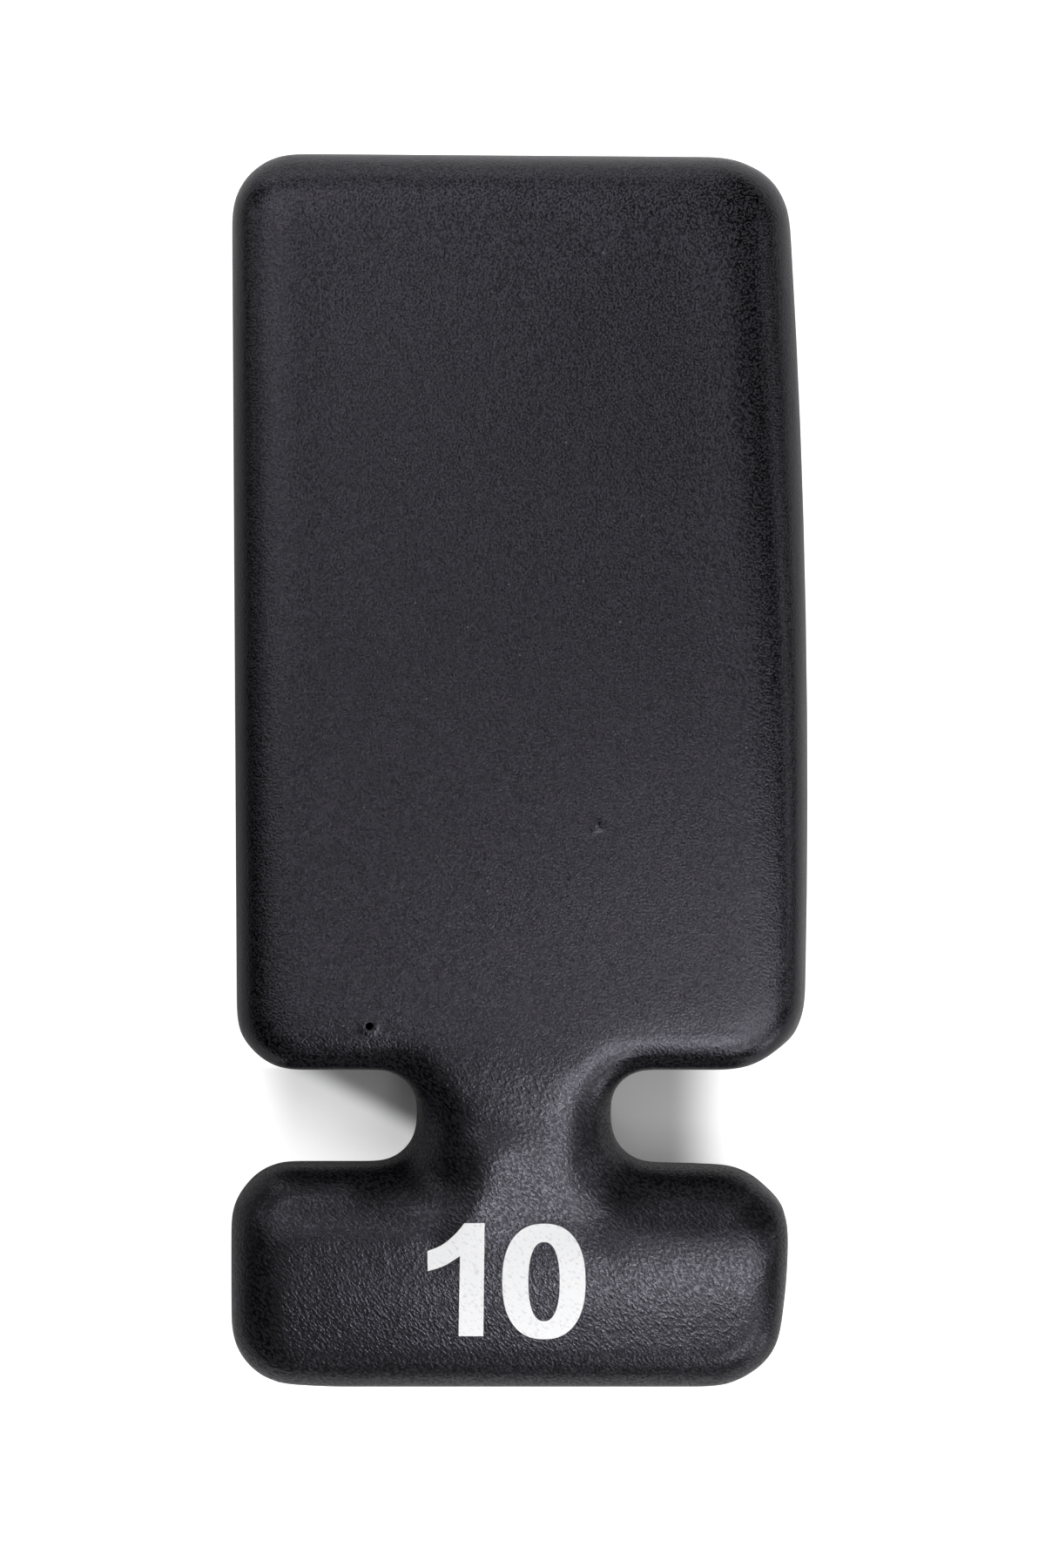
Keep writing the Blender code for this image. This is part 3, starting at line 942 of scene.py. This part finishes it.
def black_vinyl():
    made, shader = new_material("black_vinyl")
    shader.inputs["IOR"].default_value = VINYL_IOR
    shader.inputs["Specular IOR Level"].default_value = VINYL_SPECULAR
    shader.inputs["Specular Tint"].default_value = SHEEN_COLOUR
    place = add_node(made, "ShaderNodeTexCoord").outputs["Object"]
    height, tops, drawn = pebbled(made, place)
    pebble = bump_of(made, height, 1.0)
    peel = noise_of(made, place, PEEL_SIZE, GRAIN_DETAIL)
    join(made, bump_of(made, peel, PEEL_HEIGHT, pebble), shader.inputs["Normal"])

    worn = ramp(made, noise_of(made, place, CLOUD_SIZE, CLOUD_DETAIL), *CLOUD_SPREAD)
    # The darker pits are painted shade in the pebble's hollows.
    tint = mixed(made, tops, SHADED_PIT_COLOUR, mixed(made, worn, TOP_COLOUR, WORN_COLOUR))
    # The pale discs are dust, except the two beside the pinhole, which are painted highlights.
    dusted_and_glinted = mixed(made, specks(made, place), tint, SPECK_AND_GLINT_COLOUR)
    join(made, dusted_and_glinted, shader.inputs["Base Color"])
    pit_roughness = going(made, drawn, EVEN_PIT_ROUGHNESS, DRAWN_PIT_ROUGHNESS)
    top_roughness = going(made, drawn, EVEN_TOP_ROUGHNESS, DRAWN_TOP_ROUGHNESS)
    join(made, going(made, tops, pit_roughness, top_roughness), shader.inputs["Roughness"])
    return made


skin.data.materials.clear()
skin.data.materials.append(black_vinyl())
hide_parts("vinyl_coating")
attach(skin, "root")
print("The skin stands for the coating, in", skin.data.materials[0].name)

# %% [markdown]
# The casting shows nowhere once the coat is on, but a cut or a worn coating bares it, so it gets
# its own finish: dull grey lead, clouded with lighter patches, with the ripples of a pour. Under
# the pinhole it is painted black, as shade down the narrow hole.

# %% Bare cast lead
LEAD_DARK = (0.17, 0.175, 0.19, 1.0)
LEAD_LIGHT = (0.34, 0.35, 0.37, 1.0)
BLOOM_SIZE = 1 / 60
BLOOM_DETAIL = 6.0
BLOOM_ROUGHNESS = 0.65
BLOOM_SPREAD = (0.35, 0.65)
DULL_ROUGHNESS = 0.62
BRIGHT_ROUGHNESS = 0.42
RIPPLE_SIZE = 1 / 240
RIPPLE_DETAIL = 3.0
RIPPLE_ROUGHNESS = 0.5
RIPPLE_HEIGHT = 0.0002
HOLE_SHADE_COLOUR = (0.002, 0.002, 0.002, 1.0)
HOLE_SHADE_REACH = 2.0


def two_tones(made, source, spread, dark, light):
    """A colour that goes from dark to light as the source goes over a spread of values."""
    tones = add_node(made, "ShaderNodeValToRGB")
    for stop, position, colour in zip(tones.color_ramp.elements, spread, (dark, light)):
        stop.position = position
        stop.color = colour
    join(made, source, tones.inputs["Fac"])
    return tones.outputs["Color"]


def cast_lead():
    made, shader = new_material("cast_lead")
    shader.inputs["Metallic"].default_value = 1.0
    place = add_node(made, "ShaderNodeTexCoord").outputs["Object"]
    bloom = noise_of(made, place, BLOOM_SIZE, BLOOM_DETAIL, BLOOM_ROUGHNESS)
    tint = two_tones(made, bloom, BLOOM_SPREAD, LEAD_DARK, LEAD_LIGHT)
    plan = stretched(made, place, (1.0, 1.0, 0.0))
    from_pinhole = distance_from(made, plan, (pinhole.x, pinhole.y, 0.0))
    # The black under the pinhole is painted shade down the narrow hole. It eases to the lead's own
    # grey at twice the hole's radius.
    bare = ramp(made, from_pinhole, pinhole_radius, pinhole_radius * HOLE_SHADE_REACH)
    join(made, mixed(made, bare, HOLE_SHADE_COLOUR, tint), shader.inputs["Base Color"])
    dull = going(made, bloom, DULL_ROUGHNESS, BRIGHT_ROUGHNESS)
    join(made, dull, shader.inputs["Roughness"])
    ripple = noise_of(made, place, RIPPLE_SIZE, RIPPLE_DETAIL, RIPPLE_ROUGHNESS)
    join(made, bump_of(made, ripple, RIPPLE_HEIGHT), shader.inputs["Normal"])
    return made


for index in range(len(casting_node.data.materials)):
    casting_node.data.materials[index] = cast_lead()
print("Lead on", casting_node.name, "in", len(casting_node.data.materials), "slot")

# %% [markdown]
# The number is white ink, printed on the handle after the coat had cured. Each figure is drawn as a
# flat curve from its corners in the photograph and made a mesh. The ink has to follow the
# handle's soft swell, so it isn't laid on flat. The figures are drawn out into tall blocks, and
# what the blocks share with a thin shell lifted off the coating is the film of ink.

# %% The figures' outlines
ONE_OUTLINE = (
    (533.2, 1403.8, "VECTOR"), (556.5, 1403.8, "VECTOR"), (555.0, 1534.7, "VECTOR"),
    (526.5, 1534.7, "VECTOR"), (528.3, 1441.7, "VECTOR"), (510.0, 1453.0, "AUTO"),
    (491.2, 1459.3, "VECTOR"), (490.8, 1436.2, "VECTOR"), (507.0, 1429.3, "AUTO"),
    (520.5, 1418.5, "AUTO"), (529.5, 1408.7, "AUTO"),
)
# Each ring of the nought by its left, right, top and bottom.
NOUGHT_OUTER = (576.75, 672.4, 1404.7, 1538.2)
NOUGHT_INNER = (606.7, 642.7, 1425.7, 1517.2)
NOUGHT_FULLNESS = 2.35
NOUGHT_POINTS = 96


def rounded(part):
    """A sine or a cosine pushed outwards, which makes an oval fuller than an ellipse."""
    return math.copysign(abs(part) ** (2 / NOUGHT_FULLNESS), part)


def rounded_ring(left, right, top, bottom):
    """Points round an upright oval that is a little fuller than an ellipse."""
    corners = []
    for step in range(NOUGHT_POINTS):
        turn = 2 * math.pi * step / NOUGHT_POINTS
        across, down = rounded(math.cos(turn)), rounded(math.sin(turn))
        corners.append((
            (left + right + (right - left) * across) / 2,
            (top + bottom + (bottom - top) * down) / 2,
            "VECTOR",
        ))
    return corners


print("The nought is", round(NOUGHT_OUTER[1] - NOUGHT_OUTER[0], 1), "pixels wide")

# %% Draw the figures of the number
PRINT_HEIGHT = 0.025
FIGURE_FLOOR = coating_top - 0.008
FIGURE_TALL = 0.012
STRAIGHT_WITHIN = 0.001


def draw_block(name, outlines):
    """A figure as a closed block, from outlines given as pixels of the photograph."""
    flat = bpy.data.curves.new(name, "CURVE")
    flat.dimensions = "2D"
    flat.fill_mode = "BOTH"
    for corners in outlines:
        line = flat.splines.new("BEZIER")
        line.bezier_points.add(len(corners) - 1)
        line.use_cyclic_u = True
        for point, (column, row, handle) in zip(line.bezier_points, corners):
            point.co = from_photo(column, row, PRINT_HEIGHT).xy.to_3d()
            point.handle_left_type = handle
            point.handle_right_type = handle
    block = bpy.data.objects.new(name, flat)
    bpy.context.scene.collection.objects.link(block)
    only(block)
    bpy.ops.object.convert(target="MESH")
    block = bpy.context.object
    bpy.ops.object.mode_set(mode="EDIT")
    bpy.ops.mesh.select_all(action="SELECT")
    bpy.ops.mesh.remove_doubles(threshold=WELD_DISTANCE)
    bpy.ops.mesh.dissolve_limited(angle_limit=STRAIGHT_WITHIN)
    bpy.ops.transform.translate(value=(0, 0, FIGURE_FLOOR))
    bpy.ops.mesh.extrude_region_move(TRANSFORM_OT_translate={"value": (0, 0, FIGURE_TALL)})
    bpy.ops.mesh.select_all(action="SELECT")
    bpy.ops.mesh.normals_make_consistent(inside=False)
    bpy.ops.object.mode_set(mode="OBJECT")
    return block


one = draw_block("figure_one", [ONE_OUTLINE])
nought = draw_block("figure_nought", [rounded_ring(*NOUGHT_OUTER), rounded_ring(*NOUGHT_INNER)])
for block in (one, nought):
    print(block.name, in_mm(block.dimensions, 2), "mm")

# %% Lay the ink on the handle
INK_SINK = 0.00002
INK_LIFT = 0.00006
INK_MARGIN = 0.002

blocks = np.vstack([points_of(one), points_of(nought)])
low, high = blocks.min(axis=0) - INK_MARGIN, blocks.max(axis=0) + INK_MARGIN
film = bpy.data.objects.new("printed_number", skin.data.copy())
bpy.context.scene.collection.objects.link(film)


def off_the_print(face):
    """True for a face of the coating that carries no ink."""
    x, y = face.calc_center_median().xy
    return face.normal.z < FACES_UP or not (low[0] < x < high[0] and low[1] < y < high[1])


select_faces(film, off_the_print)
bpy.ops.mesh.delete(type="FACE")
bpy.ops.object.mode_set(mode="OBJECT")
film_thickness = INK_SINK + INK_LIFT
apply_modifier(
    film, "SOLIDIFY", thickness=film_thickness, offset=2 * INK_LIFT / film_thickness - 1
)
only(one)
nought.select_set(True)
bpy.ops.object.join()
apply_modifier(film, "BOOLEAN", operation="INTERSECT", solver="EXACT", object=one)
bpy.data.objects.remove(one)
print("The ink film has", len(film.data.polygons), "faces:", in_mm(film.dimensions, 2), "mm")

# %% [markdown]
# The ink is white and matt. The pebble shows through it, but filled, so its bump is lower, and the
# ink lies thinner and so a little darker in the pits.

# %% White ink
INK_PEBBLE = 0.4
INK_SPREAD = (0.30, 0.45)
INK_THIN = (0.63, 0.63, 0.64, 1.0)
INK_FULL = (0.80, 0.80, 0.81, 1.0)
INK_ROUGHNESS = 0.55


def white_ink():
    made, shader = new_material("white_ink")
    place = add_node(made, "ShaderNodeTexCoord").outputs["Object"]
    grain = drawn_grain(made, place)
    join(made, bump_of(made, grain, DRAWN_HEIGHT * INK_PEBBLE), shader.inputs["Normal"])
    tint = two_tones(made, grain, INK_SPREAD, INK_THIN, INK_FULL)
    join(made, tint, shader.inputs["Base Color"])
    shader.inputs["Roughness"].default_value = INK_ROUGHNESS
    return made


film.data.materials.clear()
film.data.materials.append(white_ink())
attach(film, "root")
print("The ink rides on the same body as the weight, in", film.data.materials[0].name)
